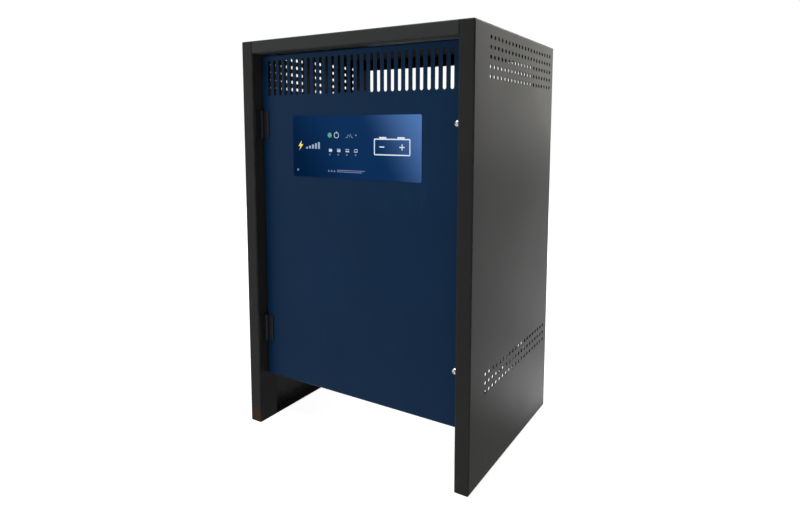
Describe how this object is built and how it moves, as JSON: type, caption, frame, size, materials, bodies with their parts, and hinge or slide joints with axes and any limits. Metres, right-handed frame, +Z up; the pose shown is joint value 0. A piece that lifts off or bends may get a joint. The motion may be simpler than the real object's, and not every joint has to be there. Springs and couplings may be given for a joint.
{
  "type": "forklift battery charger",
  "caption": "Floor-standing forklift battery charger: vented sheet steel cabinet on side legs, slotted blue hinged door with control overlay, transformer and rectifier inside.",
  "frame": {"origin": "on the floor at the middle of the cabinet's footprint", "axes": "+X to the right seen from the front, +Y to the rear, +Z up"},
  "size_m": [0.48, 0.368, 0.74],
  "materials": {
    "charcoal_paint": "satin powder coat",
    "navy_paint": "satin powder coat",
    "overlay_film": "semi-gloss printed film",
    "black_hinge": "satin black",
    "black_plastic": "matte",
    "zinc_steel": "zinc plated",
    "steel_fastener": "bright steel",
    "green_lens": "gloss",
    "clear_lens": "gloss",
    "board_green": "solder mask",
    "connector_green": "matte",
    "capacitor_sleeve": "gloss sleeve",
    "core_steel": "varnished laminations",
    "former_board": "matte",
    "winding": "varnished copper under insulating tape",
    "lead_rubber": "satin insulation",
    "pad_rubber": "matte",
    "phenolic": "satin",
    "brass_parts": "bright",
    "sink_aluminium": "as extruded",
    "copper_bar": "bright copper",
    "grey_plastic": "matte",
    "block_grey": "matte",
    "fuse_ceramic": "matte ceramic"
  },
  "bodies": {
    "cabinet": {"left_side_panel": "charcoal_paint", "right_side_panel": "charcoal_paint", "top_panel": "charcoal_paint", "base_tray": "zinc_steel", "rear_cover": "charcoal_paint", "rear_cover_screws": "zinc_steel", "screw_tabs": "charcoal_paint", "door_tab_nuts": "zinc_steel", "upper_hinge_frame_leaf": "black_hinge", "lower_hinge_frame_leaf": "black_hinge", "hinge_pins": "steel_fastener", "hinge_frame_screws": "black_hinge", "transformer_core": "core_steel", "coil_formers": "former_board", "left_winding": "winding", "centre_winding": "winding", "right_winding": "winding", "lower_clamps": "zinc_steel", "upper_clamps": "zinc_steel", "tie_bolts": "steel_fastener", "foot_pads": "pad_rubber", "foot_bolts": "steel_fastener", "transformer_nuts": "steel_fastener", "terminal_board": "phenolic", "terminal_studs": "brass_parts", "component_plate": "zinc_steel", "heat_sink": "sink_aluminium", "diode_modules": "black_plastic", "positive_busbar": "copper_bar", "negative_busbar": "copper_bar", "terminal_screws": "steel_fastener", "plate_screws": "zinc_steel", "mounting_rail": "zinc_steel", "contactor": "grey_plastic", "fuse_holders": "grey_plastic", "terminal_blocks": "block_grey", "battery_fuse_base": "phenolic", "battery_fuse": "fuse_ceramic", "shunt": "brass_parts", "ac_leads": "lead_rubber", "dc_leads": "lead_rubber", "cable_glands": "black_plastic", "gland_lock_nuts": "black_plastic", "gland_cap_nuts": "black_plastic", "earth_stud": "brass_parts"},
    "door": {"door_panel": "navy_paint", "control_overlay": "overlay_film", "upper_hinge_door_leaf": "black_hinge", "lower_hinge_door_leaf": "black_hinge", "hinge_door_screws": "black_hinge", "door_screws": "steel_fastener", "screw_retainers": "black_plastic", "power_lamp": "green_lens", "state_lamps": "clear_lens", "control_board": "board_green", "board_spacers": "zinc_steel", "board_screws": "zinc_steel", "board_relays": "black_plastic", "board_connectors": "connector_green", "board_capacitors": "capacitor_sleeve"}
  },
  "joints": [
    {"name": "door_hinge", "type": "hinge", "parent": "cabinet", "child": "door", "pos_m": [-0.2096, -0.1659, 0.388], "axis": [0, 0, -1], "range_deg": [0, 95]}
  ]
}
